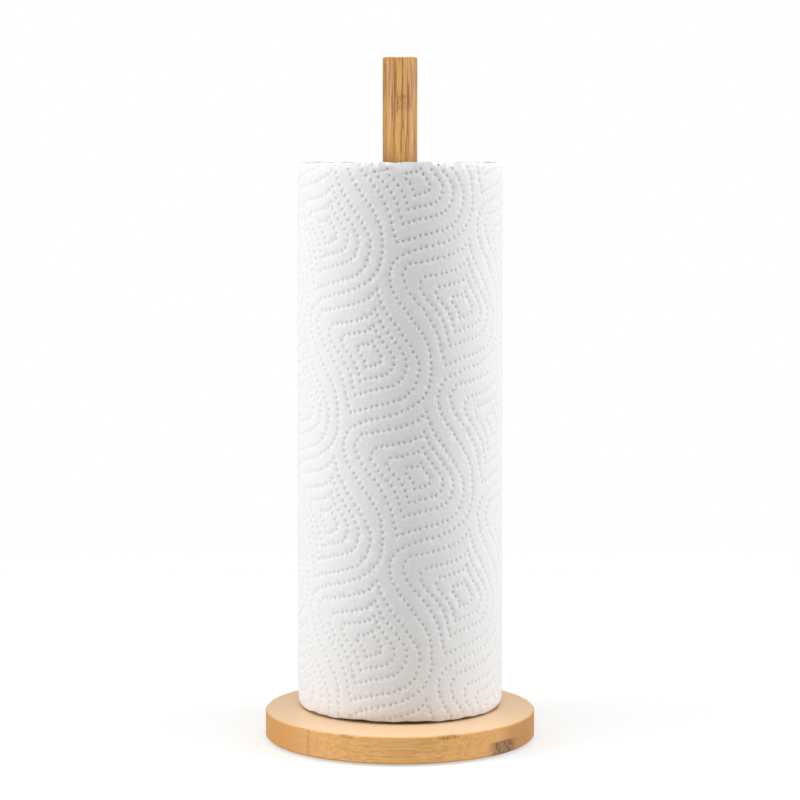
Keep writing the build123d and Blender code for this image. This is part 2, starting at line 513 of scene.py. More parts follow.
@dataclass(frozen=True)
class CoreBoard:
    """Grey-brown recycled board, wound on a slant, so that its plies meet along a helix."""

    name: str = "recycled_core_board"
    body: str = "b59a78"  # Colour of the board
    fleck: str = "8f7556"  # Colour of its darker fibres and of the seam
    pitch_mm: float = 92.0  # How far the seam climbs in one turn
    seam_mm: float = 0.7  # Width of the seam
    fibre_mm: float = 1.111  # Size of the fibres

    def make(self, centre: Point) -> bpy.types.Material:
        """Builds the material.

        Args:
            centre: The roll's axis in X and Y, in metres.

        Returns:
            The board material.
        """
        material, tree = new_material(self.name)
        centred = from_axis(tree, centre)
        axes = add_node(tree, "SeparateXYZ", inputs={0: centred})
        around = add_node(
            tree, "Math", {"operation": "ARCTAN2"}, {0: axes.outputs["Y"], 1: axes.outputs["X"]}
        )
        turn = add_node(tree, "Math", {"operation": "DIVIDE"}, {0: around, 1: math.tau})
        climb = add_node(tree, "Math", {"operation": "DIVIDE"}, {0: axes.outputs["Z"], 1: self.pitch_mm * MM})
        winding = add_node(tree, "Math", {"operation": "SUBTRACT"}, {0: climb, 1: turn})
        fraction = add_node(tree, "Math", {"operation": "FRACT"}, {0: winding})
        width = self.seam_mm / self.pitch_mm
        seam = add_node(tree, "Math", {"operation": "LESS_THAN"}, {0: fraction, 1: width})
        fibre_scale = 1 / (self.fibre_mm * MM)
        fibres = add_node(tree, "TexNoise", inputs={"Vector": centred, "Scale": fibre_scale, "Detail": 5.0})
        colour = add_node(
            tree, "Mix", COLOURS, {"Factor": fibres, "A": linear(self.body), "B": linear(self.fleck)}
        )
        seamed = add_node(tree, "Mix", COLOURS, {"Factor": seam, "A": colour, "B": linear(self.fleck)})
        height = add_node(tree, "Math", {"operation": "SUBTRACT"}, {0: fibres, 1: seam})
        surface = {"Base Color": seamed, "Roughness": 0.9, "Specular IOR Level": 0.25}
        finish_surface(tree, surface, height, 0.5, 0.1)
        return material


@dataclass(frozen=True)
class TurnedMetal:
    """A small turned or stamped metal part: bright, with fine concentric tool marks."""

    name: str
    colour: str  # The metal's colour
    roughness: float  # Its middling roughness
    mark_mm: float = 1.5708  # Spacing of the tool marks, drawn coarser than real ones so that they show
    tarnish_mm: float = 2.5  # Size of the patches that are a little duller
    dulling: Point = (-0.08, 0.12)  # How far the roughness swings below and above the middling one

    def make(self) -> bpy.types.Material:
        """Builds the material.

        Returns:
            The metal material.
        """
        material, tree = new_material(self.name)
        objects = add_node(tree, "TexCoord").outputs["Object"]
        rings = {"wave_type": "RINGS", "rings_direction": "Z"}
        ring_scale = math.tau / (WAVE_RADIANS * self.mark_mm * MM)
        ring_inputs = {"Vector": objects, "Scale": ring_scale, "Distortion": 0.6}
        marks = add_node(tree, "TexWave", rings, ring_inputs)
        patches = {"Vector": objects, "Scale": 1 / (self.tarnish_mm * MM), "Detail": 4.0}
        tarnish = add_node(tree, "TexNoise", inputs=patches)
        limits = {"To Min": self.roughness + self.dulling[0], "To Max": self.roughness + self.dulling[1]}
        rough = add_node(tree, "MapRange", inputs={"Value": tarnish, **limits})
        surface = {"Base Color": linear(self.colour), "Metallic": 1.0, "Roughness": rough}
        finish_surface(tree, surface, marks.outputs["Fac"], 0.2, 0.03)
        return material


@dataclass(frozen=True)
class PadFoam:
    """Closed-cell EVA foam: near black, dull, with pores a fraction of a millimetre across."""

    name: str = "eva_foam"
    colour: str = "262523"  # Colour of the walls between the pores
    pore_shade: str = "1b1a19"  # Colour painted inside a pore: painted shade in the hollow
    pore_mm: float = 0.35  # Spacing of the pores

    def make(self) -> bpy.types.Material:
        """Builds the material.

        Returns:
            The foam material.
        """
        material, tree = new_material(self.name)
        objects = add_node(tree, "TexCoord").outputs["Object"]
        pores = add_node(tree, "TexVoronoi", inputs={"Vector": objects, "Scale": 1 / (self.pore_mm * MM)})
        # The pores are painted darker inside: painted shade in the hollows
        pore_shade, wall = linear(self.pore_shade), linear(self.colour)
        tone = add_node(tree, "Mix", COLOURS, {"Factor": pores, "A": pore_shade, "B": wall})
        finish_surface(tree, {"Base Color": tone, "Roughness": 0.88}, pores, 0.5, 0.1)
        return material


def dress(nodes: tuple[str, ...], material: bpy.types.Material) -> None:
    """Gives some of the CAD pieces one material."""
    for name in nodes:
        set_material(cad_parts[name], material)
        log.info("%s dressed in %s", name, material.name)


# ---------------------------------------------------------------- the holder


@dataclass
class Holder:
    """The bamboo holder: base plies, post, hidden fixing and foot pads. All keep their CAD shapes."""

    base_nodes: tuple[str, ...] = ("base_upper_ply", "base_lower_ply")  # The base's two plies
    # The pads under it
    pad_nodes: tuple[str, ...] = ("foot_pad_1", "foot_pad_2", "foot_pad_3", "foot_pad_4")

    def dress_base(self) -> None:
        """Lays flat-pressed bamboo on both plies, with its grain from left to right."""
        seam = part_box("base_upper_ply")[0][2] / MM
        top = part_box("base_upper_ply")[1][2] / MM
        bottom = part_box("base_lower_ply")[0][2] / MM
        marks = (
            NodeMark(-46.0, (-OPEN, -OPEN, bottom), (OPEN, 0, top), 1.4, 0.25),
            NodeMark(52.0, (-OPEN, -OPEN, bottom), (OPEN, 0, seam), 9.0, 1.0, 0.55),
            NodeMark(60.0, (47, -OPEN, bottom), (OPEN, 0, seam), 16.0, 0.3, 0.8),
            NodeMark(62.0, (49, -OPEN, seam), (OPEN, 0, top - 0.6), 14.0, 0.3, 0.7),
            NodeMark(24.0, (-OPEN, -OPEN, top - 2.2), (OPEN, -40, top), 7.0, 0.55),
            NodeMark(-27.0, (-OPEN, -OPEN, top - 1.8), (OPEN, -40, top), 5.0, 0.45),
            NodeMark(-12.0, (-OPEN, 0, seam), (OPEN, OPEN, top), 2.4, 0.6),
            NodeMark(31.0, (-OPEN, 0, bottom), (OPEN, OPEN, seam), 3.0, 0.7),
        )
        finish = Bamboo(
            name="pressed_bamboo_base",
            grain=Grain.ALONG_X,
            pale="ecba74",
            body="e5ab60",
            streak="c48940",
            # A paler tone painted on the top and bottom faces: painted light from above
            face="e9c9a6",
            painted_top_light_share=0.82,
            strip_mm=21.0,
            strip_shift_mm=10.5,
            ply_mm=(top - bottom) / 2,
            strip_contrast=0.04,
            end_share=1.0,
            fibre_mm=0.8,
            streak_share=0.42,
            fleck_mm=(0.9, 2.6),
            marks=marks,
        )
        dress(self.base_nodes, finish.make())

    def dress_post(self) -> None:
        """Runs the post's grain upright, with a culm joint a little under its top."""
        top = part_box("post")[1][2] / MM
        marks = (
            NodeMark(top - 22.5, (-1.4, -OPEN, 0), (6.4, 0, OPEN), 6.5, 0.65, 0.15),
            NodeMark(top - 96.0, (-7.0, 0, 0), (4.0, OPEN, OPEN), 3.0, 0.7),
        )
        finish = Bamboo(
            name="turned_bamboo_post",
            grain=Grain.ALONG_Z,
            pale="d9a65c",
            body="cd9248",
            streak="9e682b",
            # A paler tone painted on the top and bottom faces: painted light from above
            face="e2ba82",
            painted_top_light_share=0.5,
            strip_mm=6.2,
            strip_shift_mm=8.7,
            strip_contrast=0.2,
            tones=(0.0, 1.0, 0.28),
            fibre_length_mm=18.0,
            streak_mm=0.95,
            streak_length_mm=27.0,
            streak_share=0.95,
            fleck_mm=(1.3, 0.5),
            marks=marks,
        )
        dress(("post",), finish.make())

    def dress_fixing(self) -> None:
        """Gives the bolt, washer and insert their metals and the pads their foam."""
        dress(("bolt", "washer"), TurnedMetal("zinc_plated_steel", "b9bcc0", 0.3).make())
        dress(("threaded_insert",), TurnedMetal("turned_brass", "c9a154", 0.28).make())
        dress(self.pad_nodes, PadFoam().make())


# ---------------------------------------------------------------- the roll


def between(t: float, p: float, q: float, r: float, s: float) -> float:
    """Works out one coordinate of a Catmull-Rom curve.

    Args:
        t: The share of the way from q to r.
        p: The coordinate of the point before.
        q: That of the point that the stretch leaves.
        r: That of the point that it reaches.
        s: That of the point after.

    Returns:
        The coordinate.
    """
    climb = (r - p) * t
    bend = (2 * p - 5 * q + 4 * r - s) * t**2
    twist = (3 * q - p - 3 * r + s) * t**3
    return 0.5 * (2 * q + climb + bend + twist)


def smooth_line(points: tuple[Point, ...], per_span: int = 8) -> list[Point]:
    """Runs a smooth curve through a few points.

    Args:
        points: The points, in order.
        per_span: Steps between one point and the next.

    Returns:
        Points along the Catmull-Rom curve, both ends included.
    """
    before = tuple(2 * end - inner for end, inner in zip(points[0], points[1]))
    after = tuple(2 * end - inner for end, inner in zip(points[-1], points[-2]))
    knots = [before, *points, after]
    line = []
    for four in zip(knots, knots[1:], knots[2:], knots[3:]):
        for step in range(per_span):
            line.append(tuple(between(step / per_span, *values) for values in zip(*four)))
    return [*line, points[-1]]


def spaced(line: list[Point], pitch: float) -> list[Point]:
    """Steps along a line at an even pitch.

    Args:
        line: Points along the line.
        pitch: The spacing wanted, adjusted a little so that the line holds a whole number of steps.

    Returns:
        The stepped points, the first end included and the last left out.
    """
    lengths = [math.dist(a, b) for a, b in zip(line, line[1:])]
    total = sum(lengths)
    count = max(1, round(total / pitch))
    stepped, passed, index = [], 0.0, 0
    for step in range(count):
        target = step * total / count
        while passed + lengths[index] < target:
            passed += lengths[index]
            index += 1
        share = (target - passed) / lengths[index]
        (x0, y0), (x1, y1) = line[index], line[index + 1]
        stepped.append((x0 + share * (x1 - x0), y0 + share * (y1 - y0)))
    return stepped


@dataclass(frozen=True)
class EmbossPattern:
    """The embossing roller's dots on the flat web, in mm: leaf-shaped nests of dotted loops.

    Each motif is four loops, one in another, and one stretch of the meander that runs between motifs.
    Its points are measured from the motif's middle, across the web and up it.
    """

    down: Point = (24.2, -61.2)  # Step from one motif to the next one down the web
    beside: Point = (48.3, 24.3)  # Step to the next one beside it
    # Where one motif's middle lies, from the middle of the roll's front and its foot
    first: Point = (6.2, 126.5)
    row_pitch: float = 2.85  # Spacing of the dots along a loop's foot and crown
    side_pitch: float = 3.35  # Their spacing along its sides
    meander_pitch: float = 3.1  # Their spacing along the meander
    # The outer loop's right side, from its crown down
    right: tuple[Point, ...] = (
        (7, 31), (11, 21), (18.5, 10), (24, 2), (27.5, -5), (27.5, -12), (25, -18.5),
    )
    # Its foot, from right to left
    foot: tuple[Point, ...] = ((25, -18.5), (20.5, -23), (12, -26), (3.5, -28), (-7, -31))
    # Its left side, from the foot up
    left: tuple[Point, ...] = (
        (-7, -31), (-9, -24), (-11, -16), (-17, -5), (-25.5, 5.5), (-28.5, 14), (-25, 19.5),
    )
    # Its crown, from left to right
    crown: tuple[Point, ...] = ((-25, 19.5), (-17, 21), (-5.5, 23.5), (2.5, 26.5), (7, 31))
    # Each loop's width and height, as shares of the outer one's
    loop_scales: tuple[Point, ...] = ((1.0, 1.0), (0.74, 0.69), (0.49, 0.45), (0.22, 0.21))
    loop_start: Point = (-0.3, 0.0)  # Where the outer loop's middle lies
    loop_drift: Point = (1.0, -0.4)  # How far each loop inside it is shifted
    # The meander's points, from the top down
    meander: tuple[Point, ...] = (
        (13, 38.5), (14, 32), (17.5, 25.5), (23.5, 17), (29.5, 8.5), (32.5, 2), (33.5, -5), (33.5, -13),
        (31.5, -20), (27, -25.5), (19, -30), (10.5, -32.5), (2.5, -34.5), (-6, -38), (-10, -42.5), (-11, -47),
    )
    reach: float = 60.0  # How far a motif spreads from its middle, at most
    repeats: int = 24  # Steps of the lattice each way from the first motif

    def motif(self) -> list[Point]:
        """Lays out one motif.

        Returns:
            The dots of one motif, about its middle.
        """
        sides = (self.right, self.side_pitch), (self.left, self.side_pitch)
        rows = (self.foot, self.row_pitch), (self.crown, self.row_pitch)
        dots = []
        for number, (wide, high) in enumerate(self.loop_scales):
            middle_x = self.loop_start[0] + number * self.loop_drift[0]
            middle_y = self.loop_start[1] + number * self.loop_drift[1]
            for outline, pitch in (sides[0], rows[0], sides[1], rows[1]):
                line = [(middle_x + wide * x, middle_y + high * y) for x, y in smooth_line(outline)]
                dots += spaced(line, pitch)
        return dots + spaced(smooth_line(self.meander), self.meander_pitch)

    def dots(self, low: Point, high: Point) -> list[Point]:
        """The dots in a rectangle of web.

        Args:
            low: The rectangle's lower left corner.
            high: Its upper right corner.

        Returns:
            Every dot's centre inside the rectangle.
        """
        motif = self.motif()
        found = []
        for step, stride in product(range(-self.repeats, self.repeats + 1), repeat=2):
            x = self.first[0] + step * self.down[0] + stride * self.beside[0]
            y = self.first[1] + step * self.down[1] + stride * self.beside[1]
            in_x = low[0] - self.reach < x < high[0] + self.reach
            in_y = low[1] - self.reach < y < high[1] + self.reach
            if in_x and in_y:
                dots = [(x + dx, y + dy) for dx, dy in motif]
                found += [dot for dot in dots if low[0] < dot[0] < high[0] and low[1] < dot[1] < high[1]]
        return found


@dataclass(frozen=True)
class RollShape:
    """The roll's outside: where a point of the flat web comes to lie once it is wound.

    Web places are (along, up): mm round the roll from its front, and mm above the roll's foot.
    """

    radius: float  # The roll's radius
    centre: Point  # Its axis
    foot: float  # Height of its foot
    length: float  # Its height
    end_tuck: float = 1.0  # How far the web is drawn in at the roll's ends
    end_tuck_reach: float = 4.5  # The height over which most of that fades
    edge_roll: float = 0.7  # How far its cut edge rolls in besides
    edge_roll_reach: float = 0.9  # The height over which most of that fades
    flare: float = 0.9  # How much wider the foot is wound than the top
    # Size of the slow wave round the roll, of the faster one and of the ripple
    sway: Corner = (0.16, 0.08, 0.06)
    # The heights over which the slow wave, the faster one and the ripple change
    sway_height: Corner = (61, 43, 17)
    # Size and number of the waves that the cut edges make round the roll
    edge_waves: tuple[Point, ...] = ((0.3, 3), (0.2, 11), (0.12, 29))
    edge_reach: float = 5.0  # The height over which most of those fade

    def tuck(self, up: float) -> float:
        """Draws the web in, most at the roll's two ends.

        Args:
            up: Mm above the roll's foot.

        Returns:
            How far it is drawn in, in mm.
        """
        away = min(up, self.length - up)
        tucked = self.end_tuck * math.exp(-away / self.end_tuck_reach)
        return tucked + self.edge_roll * math.exp(-away / self.edge_roll_reach)

    def wobble(self, along: float, up: float) -> float:
        """Gives the roll the hand-felt unevenness of soft paper.

        Args:
            along: Mm round the roll from its front.
            up: Mm above the roll's foot.

        Returns:
            How far its side swells out, in mm.
        """
        angle = along / self.radius
        slow_up, fast_up, ripple_up = (up / height for height in self.sway_height)
        slow, fast, ripple = self.sway
        slow *= math.sin(angle * 2 + 0.7) * math.sin(slow_up + 1.1)
        fast *= math.sin(angle * 5 + fast_up)
        ripple *= math.sin(ripple_up + angle * 3)
        return slow + fast + ripple + self.flare * (1 - up / self.length)

    def edge_shift(self, along: float, up: float) -> float:
        """Lets the web's two cut edges wander up and down, fading out away from them.

        Args:
            along: Mm round the roll from its front.
            up: Mm above the roll's foot.

        Returns:
            How far the web is moved up, in mm.
        """
        angle = along / self.radius
        away = min(up, self.length - up)
        waves = zip(self.edge_waves, (1.9, up, 0.0))
        wave = sum(size * math.sin(angle * count + phase) for (size, count), phase in waves)
        return wave * math.exp(-away / self.edge_reach)

    def place(self, along: float, up: float, depth: float) -> Corner:
        """Winds one point of the web onto the roll.

        Args:
            along: Mm round the roll from its front, to the right.
            up: Mm above the roll's foot.
            depth: Mm inwards from the roll's outside.

        Returns:
            The point in the row's frame, in metres.
        """
        angle = along / self.radius
        reach = self.radius - depth - self.tuck(up) + self.wobble(along, up)
        return (
            (self.centre[0] + reach * math.sin(angle)) * MM,
            (self.centre[1] - reach * math.cos(angle)) * MM,
            (self.foot + up + self.edge_shift(along, up)) * MM,
        )


@dataclass(frozen=True)
class Crease:
    """A short crease pressed into the outer sheet near the top of the roll, with a low ridge beside it."""

    start: Point = (-14.5, 276.6)  # One end, on the flat web
    end: Point = (-2.5, 278.4)  # The other end
    depth: float = 0.38  # How deep it is
    half_width: float = 0.5  # Its half width
    ridge: float = 0.2  # Height of the ridge
    ridge_aside: float = 1.1  # How far the ridge lies from it
    ridge_width: float = 0.6  # The ridge's half width
    step: float = 0.7  # Spacing of the mesh points along it
    # How far the rows of those points lie from it
    asides: tuple[float, ...] = (-1.1, -0.45, 0.0, 0.45, 1.1)

    def points(self) -> list[Point]:
        """Lays mesh points along the crease.

        Returns:
            The rows of points along the crease.
        """
        length = math.dist(self.start, self.end)
        run, climb = self.end[0] - self.start[0], self.end[1] - self.start[1]
        steps = round(length / self.step)
        found = []
        for aside in self.asides:
            for i in range(steps + 1):
                x = self.start[0] + run * i / steps - aside * climb / length
                y = self.start[1] + climb * i / steps + aside * run / length
                found.append((x, y))
        return found

    def depth_at(self, x: float, y: float) -> float:
        """Measures the crease at a point of the web.

        Args:
            x: Place along the web.
            y: Place up it.

        Returns:
            How deep the crease is there, in mm.
        """
        length = math.dist(self.start, self.end)
        run, climb = self.end[0] - self.start[0], self.end[1] - self.start[1]
        from_x, from_y = x - self.start[0], y - self.start[1]
        along = (from_x * run + from_y * climb) / length
        aside = (from_y * run - from_x * climb) / length
        if not 0 < along < length:
            return 0.0
        fade = math.sin(math.pi * along / length) ** 0.5
        groove = self.depth * math.exp(-((aside / self.half_width) ** 2))
        ridge = self.ridge * math.exp(-(((aside - self.ridge_aside) / self.ridge_width) ** 2))
        return fade * (groove - ridge)


@dataclass
class Sheet:
    """One perforated sheet of the web, wound on the roll, with its embossed dots as real hollows."""

    name: str
    node: str  # The CAD node that it stands for
    start: float  # Where the sheet begins, in mm along the web from the roll's front
    length: float  # The sheet's length along the web
    shape: RollShape  # The roll that it is wound on
    pattern: EmbossPattern  # The embossing
    sink: float = 0.0  # How far it lies under the roll's outside once the next turn covers it
    sink_reach: float = 1.0  # The stretch before its far end over which it comes up to the outside
    embossed_from: float = -1e6  # Where its dots begin. Nothing shows of it before that
    lift: float = 0.0  # How far its far edge stands off, if that edge is free
    torn_start: bool = False  # Whether it begins at a line of perforations
    torn_end: bool = False  # Whether it ends at one
    crease: Crease | None = None  # The crease in it, if it has one
    thickness: float = 0.3  # The paper's thickness at the sheet's edges
    emboss_room: float = 0.86  # From the outer face's tops to the inner face, dots included
    dot_radius: float = 0.82  # A dot's half width at its rim
    dot_floor: float = 0.34  # Its half width at its floor
    dot_stretch: float = 1.18  # How much longer than wide it is
    dot_depth: float = 0.46  # Its depth
    dot_drift: float = 0.12  # How far dots stray from the pattern
    # Shares of that depth: what every dot has, what its patch adds and what it adds on its own
    dot_depths: Corner = (0.86, 0.3, 0.24)
    patch_size: float = 23.0  # Size of the patches of deeper and shallower dots
    floor_points: int = 6  # Mesh points round a floor
    rim_points: int = 8  # Mesh points round a rim
    rim_turn: float = 0.3  # How far the rim's points are turned, in radians
    pillow: float = 0.04  # Height of the swell between dots
    pillow_reach: float = 2.2  # How far from a rim it tops out
    lip: float = 0.06  # Height of the lip round a dot
    lip_reach: float = 0.7  # Its width
    crepe: float = 0.1  # Height of the crepe between dots
    crepe_size: Point = (1.9, 3.4)  # Its width and length
    edge_step: float = 0.7  # Spacing of the mesh points along the edge
    loose_step: float = 2.3  # Their spacing between dots
    bare_step: float = 5.0  # Their spacing where the sheet is plain
    dot_gap: float = 0.1  # Room that a dot needs round it
    crease_gap: float = 0.9  # Room that the crease's points need round them
    loose_gap: float = 0.45  # Room that a loose point needs from a dot's own
    edge_gap: float = 0.55  # Room that it needs from the sheet's edge
    slit: float = 3.6  # Length of a slit in the perforation
    bond: float = 1.1  # Length of the paper left between two slits
    slit_gap: float = 0.18  # How far a slit gapes
    slit_slope: float = 0.12  # Height over which it opens
    lift_reach: float = 9.0  # The stretch of the sheet that the free edge lifts
    # The share of the lift that is even along the edge, and the share that comes and goes
    lift_wave: Point = (0.65, 0.35)
    lift_wave_height: Point = (31, 13)  # The heights over which it comes and goes
    sharp_degrees: float = 62.0  # The sharpest fold that is shaded smooth

    @property
    def end(self) -> float:
        """Where the sheet ends along the web."""
        return self.start + self.length

    def dot_centres(self) -> list[Point]:
        """Lays out the embossing, with a little drift for each dot.

        Returns:
            The centres of the dots on this sheet and just past its edges.
        """
        margin = 2.0
        low = (max(self.start, self.embossed_from) - margin, -margin)
        dots = self.pattern.dots(low, (self.end + margin, self.shape.length + margin))
        draw = random.Random(7)
        return [(x + draw.gauss(0, self.dot_drift), y + draw.gauss(0, self.dot_drift)) for x, y in dots]

    def end_line(self, x: float, torn: bool, inwards: int) -> list[Point]:
        """One end of the sheet from its foot up: straight where it was cut, slit and bonded where it tears.

        Args:
            x: Where the end is.
            torn: Whether it is a line of perforations.
            inwards: Which way the sheet lies, 1 or -1.

        Returns:
            Points up the end.
        """
        top = self.shape.length
        if not torn:
            steps = round(top / self.edge_step)
            return [(x, top * i / steps) for i in range(steps + 1)]
        count = round(top / (self.slit + self.bond))
        unit = top / count
        bond = unit * self.bond / (self.slit + self.bond)
        inset = x + inwards * self.slit_gap
        line = []
        for i in range(count):
            low = i * unit
            line += [(x, low), (x, low + bond)]
            line += [(inset, low + bond + self.slit_slope), (inset, low + unit - self.slit_slope)]
        return [*line, (x, top)]

    def outline(self) -> list[Point]:
        """Runs round the sheet's edge.

        Returns:
            Its points, anticlockwise.
        """
        across = round(self.length / self.edge_step)
        foot = [(self.start + self.length * i / across, 0.0) for i in range(1, across)]
        head = [(x, self.shape.length) for x, _ in reversed(foot)]
        right = self.end_line(self.end, self.torn_end, -1)
        left = self.end_line(self.start, self.torn_start, 1)
        return right + head + left[::-1] + foot

    def from_edge(self, x: float, y: float) -> float:
        """Distance from a point of the sheet to its nearest edge, in mm."""
        return min(x - self.start, self.end - x, y, self.shape.length - y)

    def dot_ring(self, x: float, y: float, radius: float, count: int, turn: float) -> list[Point]:
        """Mesh points round a dot.

        Args:
            x: The dot's place along the web.
            y: Its place up it.
            radius: The ring's half width.
            count: How many points it has.
            turn: How far they are turned, in radians.

        Returns:
            The points.
        """
        angles = [turn + math.tau * i / count for i in range(count)]
        return [(x + radius * math.cos(a), y + radius * self.dot_stretch * math.sin(a)) for a in angles]

    def face_points(self, centres: list[Point], tree: kdtree.KDTree) -> list[Point]:
        """The points that the sheet's outer face is built on, apart from its edge.

        Args:
            centres: The dots' centres.
            tree: The same centres, for finding the nearest.

        Returns:
            Each dot's middle, the ring of its floor and the ring of its rim, and loose points between dots.
        """
        clear = self.dot_radius * self.dot_stretch + self.dot_gap
        points = []
        for x, y in centres:
            if self.from_edge(x, y) >= clear:
                points.append((x, y))
                points += self.dot_ring(x, y, self.dot_floor, self.floor_points, 0.0)
                points += self.dot_ring(x, y, self.dot_radius, self.rim_points, self.rim_turn)
        creased = self.crease.points() if self.crease else []
        crease = [p for p in creased if tree.find((*p, 0.0))[2] > clear + self.dot_gap]
        draw = random.Random(len(centres))
        low = max(self.start, self.embossed_from)
        for x, y in spread(low, self.end, self.shape.length, self.loose_step, draw):
            near_edge = self.from_edge(x, y) < self.edge_gap
            near_crease = any(math.dist((x, y), p) < self.crease_gap for p in crease)
            if not near_edge and not near_crease and tree.find((x, y, 0.0))[2] > clear + self.loose_gap:
                points.append((x, y))
        bare = spread(self.start, low, self.shape.length, self.bare_step, draw)
        return points + crease + [p for p in bare if p[0] < low - 1]

    def depth(self, x: float) -> float:
        """How far under the roll's outside the sheet's face lies, in mm."""
        return self.sink * min(1.0, (self.end - x) / self.sink_reach)

    def raised(self, x: float, y: float) -> float:
        """Lifts the sheet's free edge.

        Args:
            x: Place along the web.
            y: Place up it.

        Returns:
            How far the sheet stands off there, in mm.
        """
        away = self.end - x
        if away > self.lift_reach:
            return 0.0
        even, waving = self.lift_wave
        slow, fast = self.lift_wave_height
        wave = even + waving * math.sin(y / slow + 0.4) * math.cos(y / fast)
        return self.lift * wave * (1 - away / self.lift_reach) ** 2

    def relief(self, x: float, y: float, tree: kdtree.KDTree) -> float:
        """The face's height at a point of the web, in mm, with each dot pressed its own depth.

        Args:
            x: Place along the web.
            y: Place up it.
            tree: The dots' centres.

        Returns:
            The height, zero at the top of the swell between dots.
        """
        dot, number, _ = tree.find((x, y, 0.0))
        distance = math.hypot(x - dot.x, (y - dot.y) / self.dot_stretch)
        from_rim = distance - self.dot_radius
        patch = noise.noise(Vector((dot.x / self.patch_size, dot.y / self.patch_size, PATCH_LAYER)))
        own = (number * GOLDEN) % 1.0
        even, patchy, single = self.dot_depths
        depth = self.dot_depth * (even + patchy * patch + single * own)
        wall = min(1.0, max(0.0, (distance - self.dot_floor) / (self.dot_radius - self.dot_floor)))
        swell = min(1.0, max(0.0, from_rim / self.pillow_reach))
        lip = self.lip * math.exp(-((max(0.0, from_rim) / self.lip_reach) ** 2)) * wall
        wide, long = self.crepe_size
        crepe = self.crepe * noise.noise(Vector((x / wide, y / long, CREPE_LAYER))) * swell
        return self.pillow * (math.sin(0.5 * math.pi * swell) - 1) + lip + crepe - depth * (1 - wall)

    def build(self) -> bpy.types.Object:
        """Makes the sheet: an embossed outer face, a plain inner face and the cut edge between them.

        Returns:
            The finished piece.
        """
        centres = self.dot_centres()
        tree = kdtree.KDTree(len(centres))
        for index, (x, y) in enumerate(centres):
            tree.insert((x, y, 0.0), index)
        tree.balance()
        edge = self.outline()
        outer, outer_faces, outer_rim = triangulate(edge, self.face_points(centres, tree))
        lining = spread(self.start, self.end, self.shape.length, self.bare_step, random.Random(1))
        inner, inner_faces, inner_rim = triangulate(edge, lining)

        corners = []
        for x, y in outer:
            height = self.raised(x, y)
            if x > self.embossed_from:
                height += self.relief(x, y, tree) - (self.crease.depth_at(x, y) if self.crease else 0.0)
            corners.append(self.shape.place(x, y, self.depth(x) - height))
        shift = len(outer)
        rim = set(inner_rim)
        for index, (x, y) in enumerate(inner):
            room = self.thickness if index in rim else self.emboss_room
            height = self.raised(x, y) - (self.pillow if index in rim else 0.0)
            corners.append(self.shape.place(x, y, self.depth(x) - height + room))
        faces = [*outer_faces, *([i + shift for i in reversed(face)] for face in inner_faces)]
        for i in range(len(edge)):
            a, b = outer_rim[i - 1], outer_rim[i]
            faces.append((a, shift + inner_rim[i - 1], shift + inner_rim[i], b))
        piece = self.mesh_piece(corners, faces)
        flat = np.array([*outer, *inner]) * MM
        loops = np.empty(len(piece.data.loops), dtype=np.int32)
        piece.data.loops.foreach_get("vertex_index", loops)
        layer = piece.data.uv_layers.new(name="web")
        layer.data.foreach_set("uv", flat[loops].astype(np.float32).ravel())
        log.info("%s: %d dots, %d faces", self.name, len(centres), len(faces))
        return piece

    def mesh_piece(self, corners: list[Corner], faces: list) -> bpy.types.Object:
        """Makes the sheet's object, with its origin at the frame's.

        Args:
            corners: The mesh's points, in metres.
            faces: Its faces.

        Returns:
            The new object.
        """
        data = bpy.data.meshes.new(self.name)
        data.from_pydata(corners, [], faces)
        data.update()
        piece = bpy.data.objects.new(self.name, data)
        bpy.context.scene.collection.objects.link(piece)
        shade_smooth(piece, self.sharp_degrees)
        return piece


def spread(low: float, high: float, top: float, step: float, draw: random.Random) -> list[Point]:
    """Scatters points evenly, in staggered rows, over a stretch of web.

    Args:
        low: Where the stretch begins.
        high: Where it ends.
        top: The web's width.
        step: The spacing.
        draw: The source of the small shifts that keep the rows from showing.

    Returns:
        The points.
    """
    row_share, shift, margin = 0.87, 0.2, 0.3
    points = []
    for row in range(1, int(top / (row_share * step))):
        x = low + (0.5 + 0.5 * (row % 2)) * step
        while x < high - margin * step:
            across = x + draw.uniform(-shift, shift) * step
            points.append((across, (row_share * row + draw.uniform(-shift, shift)) * step))
            x += step
    return points


def triangulate(edge: list[Point], inside: list[Point]) -> tuple[list[Point], list[list[int]], list[int]]:
    """Joins an edge and the points inside it into triangles.

    Args:
        edge: The closed outline, anticlockwise.
        inside: Points inside it.

    Returns:
        The points, the triangles, and which point each one of the edge's has become.
    """
    points = [Vector(p) for p in (*edge, *inside)]
    border = [(i - 1 if i else len(edge) - 1, i) for i in range(len(edge))]
    found, _, faces, origins, _, _ = geometry.delaunay_2d_cdt(points, border, [], 1, 1e-7)
    became = {source: index for index, sources in enumerate(origins) for source in sources}
    return [tuple(p) for p in found], faces, [became[i] for i in range(len(edge))]


def shade_smooth(piece: bpy.types.Object, degrees: float) -> None:
    """Shades a piece smooth, but for its sharpest folds.

    Args:
        piece: The piece.
        degrees: The sharpest fold that is still shaded smooth.
    """
    bpy.ops.object.select_all(action="DESELECT")
    piece.select_set(True)
    bpy.context.view_layer.objects.active = piece
    bpy.ops.object.shade_smooth_by_angle(angle=math.radians(degrees))


